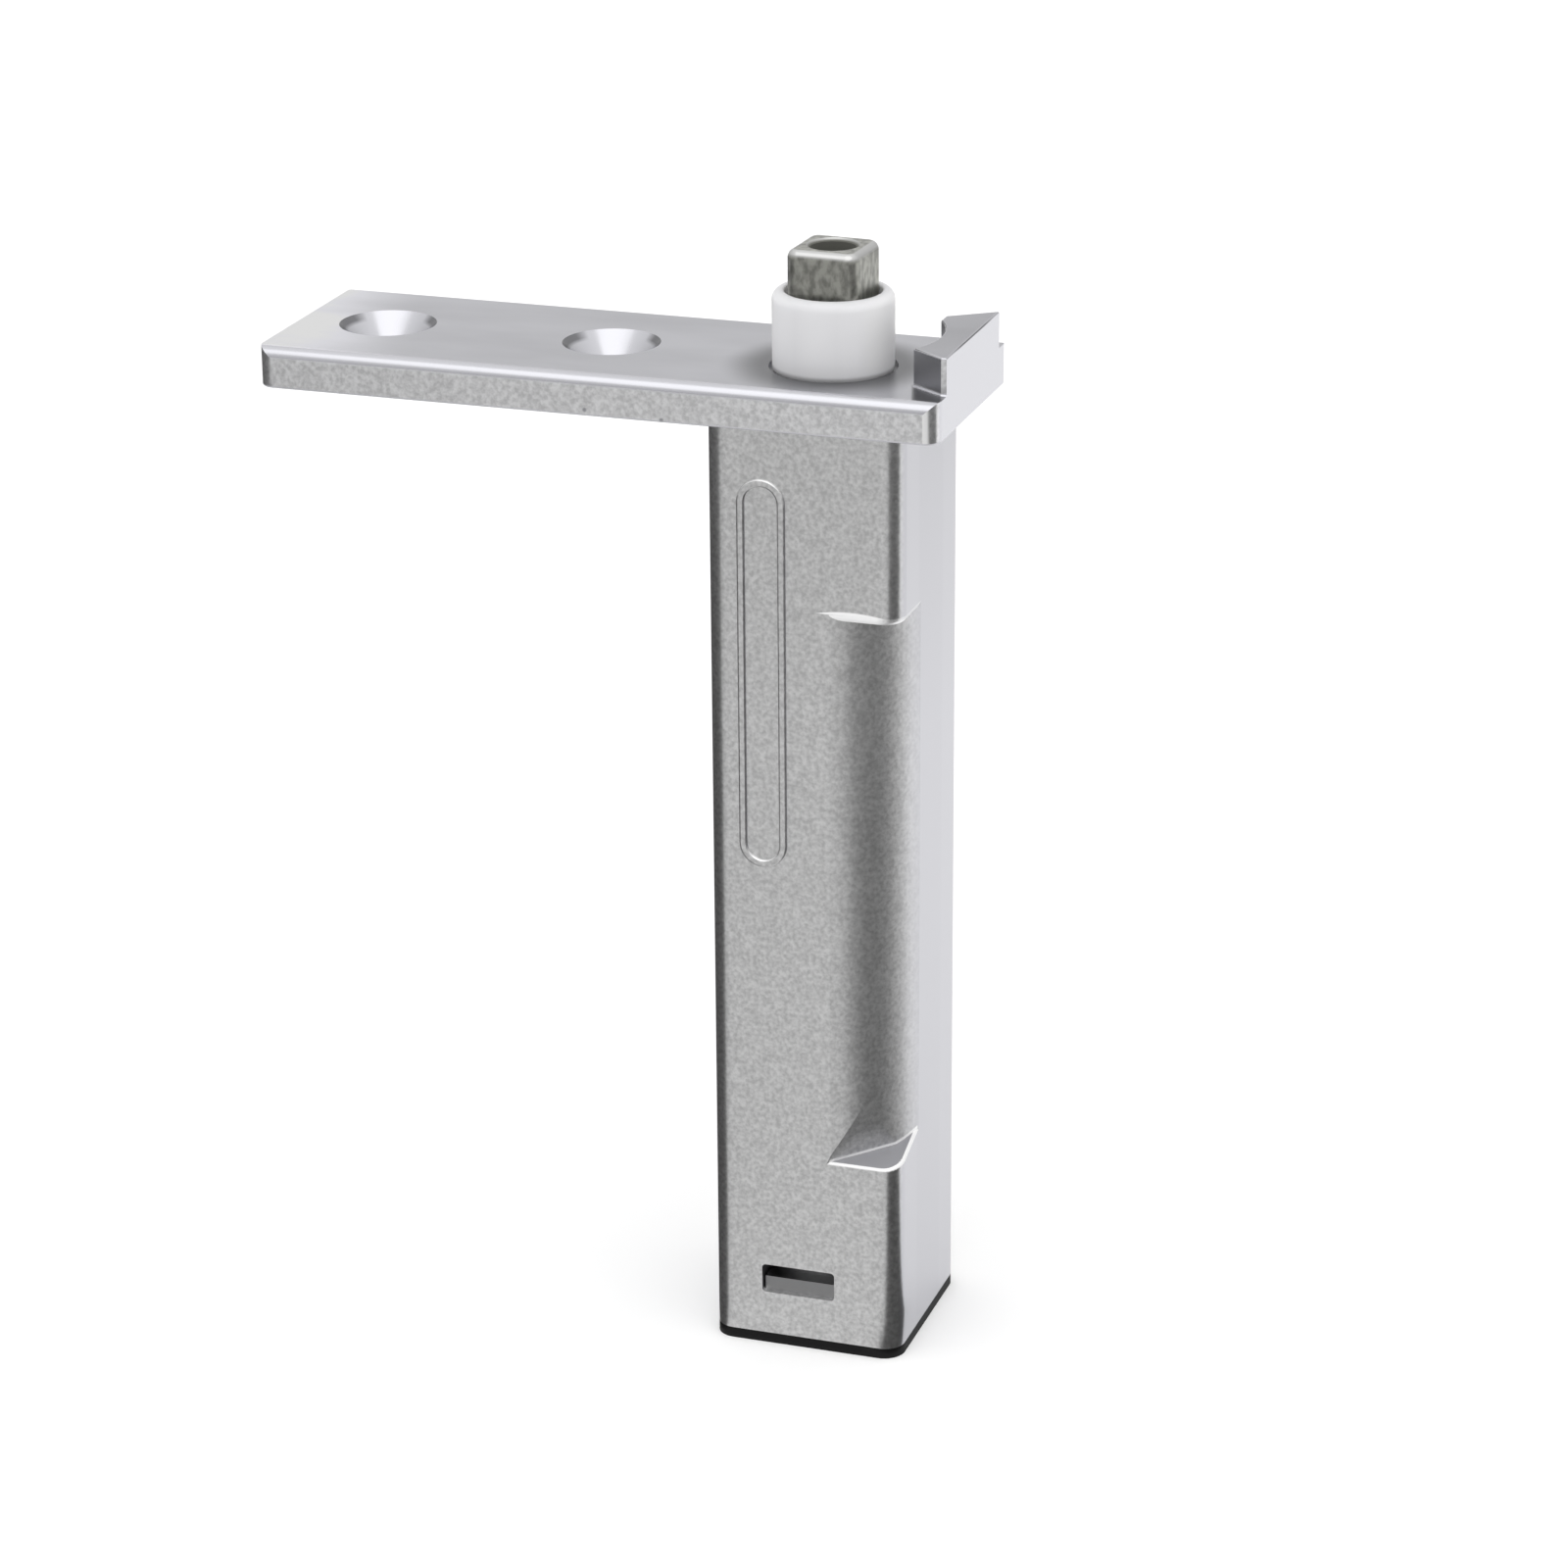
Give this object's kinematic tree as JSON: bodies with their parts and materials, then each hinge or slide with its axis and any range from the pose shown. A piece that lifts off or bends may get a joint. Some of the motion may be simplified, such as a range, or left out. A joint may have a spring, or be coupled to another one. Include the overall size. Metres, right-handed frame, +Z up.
{
  "type": "spring cartridge pivot hinge",
  "caption": "Self-closing pivot hinge: flat screw-on plate with a door stop, a square drive spindle in a white bush, and a long square spring cartridge hanging below.",
  "frame": {"origin": "where the pivot axis leaves the top face of the mounting plate, at the foot of the white bush", "axes": "+Z up along the pivot axis, +X to the plate's short end with the door stop, -Y to the front face of the cartridge with the name panel"},
  "size_m": [0.088, 0.0303, 0.1426],
  "materials": {
    "plate_steel": "satin",
    "cast_zinc": "satin",
    "hard_steel": "satin",
    "turned_steel": "satin",
    "spring_steel": "satin",
    "sintered_bronze": "matte",
    "white_nylon": "satin",
    "black_nylon": "matte",
    "black_rubber": "matte"
  },
  "bodies": {
    "cartridge": {"mounting_plate": "plate_steel", "cartridge_housing": "cast_zinc", "locating_dowels": "hard_steel", "pivot_bush": "white_nylon", "neck_bearing": "sintered_bronze", "thrust_washer": "hard_steel", "lower_spring_seat": "turned_steel", "retainer_key": "turned_steel", "end_cap": "black_nylon"},
    "spindle": {"spindle": "turned_steel", "seal_ring": "black_rubber", "drive_cam": "hard_steel", "cam_pin": "hard_steel"},
    "follower": {"follower_cam": "hard_steel", "guide_pin": "hard_steel", "upper_spring_seat": "turned_steel", "closing_spring": "spring_steel"}
  },
  "joints": [
    {"name": "spindle_turn", "type": "hinge", "parent": "cartridge", "child": "spindle", "pos_m": [0, 0, 0], "axis": [0, 0, 1], "range_deg": [0, 105], "stiffness_Nm_per_rad": 0.195, "springref_deg": -177.62},
    {"name": "follower_slide", "type": "slide", "parent": "cartridge", "child": "follower", "axis": [0, 0, -1], "range_m": [0, 0.00583], "deforming": ["closing_spring"]}
  ],
  "couplings": [
    {"joint": "spindle_turn", "follows": "follower_slide", "rad_per_m": 314.16}
  ]
}
